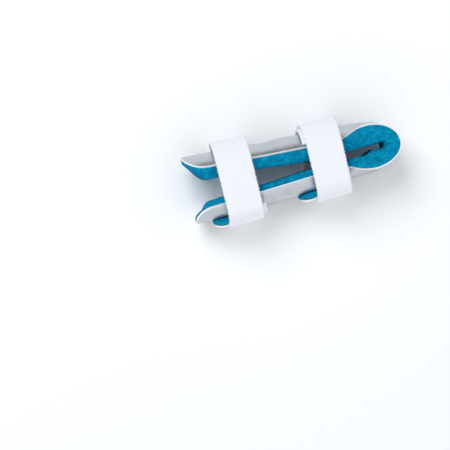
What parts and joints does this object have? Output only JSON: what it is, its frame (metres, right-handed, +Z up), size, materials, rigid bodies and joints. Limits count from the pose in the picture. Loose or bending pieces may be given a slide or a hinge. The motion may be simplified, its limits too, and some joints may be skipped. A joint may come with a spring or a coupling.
{
  "type": "finger splint",
  "caption": "Fold-over finger splint: a foam-lined aluminium strip folded over at the tip, held by wound hook-and-loop straps over padded saddles.",
  "frame": {"origin": "under the middle of the whole splint, on the surface that it lies on", "axes": "+X along the splint to its closed tip, +Y towards the dorsal leg, +Z up, away from the side that it lies on"},
  "size_m": [0.0924, 0.0356, 0.0288],
  "materials": {
    "aluminium": "satin, with bright cut edges",
    "foam": "soft fine-celled foam, matte and slightly mottled",
    "strap": "white brushed loop fabric",
    "backing": "thin white sheet, smooth"
  },
  "bodies": {
    "root": {"aluminium_shell": "aluminium", "foam_lining": "foam", "strap_proximal": "strap", "strap_distal": "strap", "saddle_backing_proximal": "backing", "saddle_backing_distal": "backing", "saddle_pad_proximal": "foam", "saddle_pad_distal": "foam"}
  },
  "joints": []
}
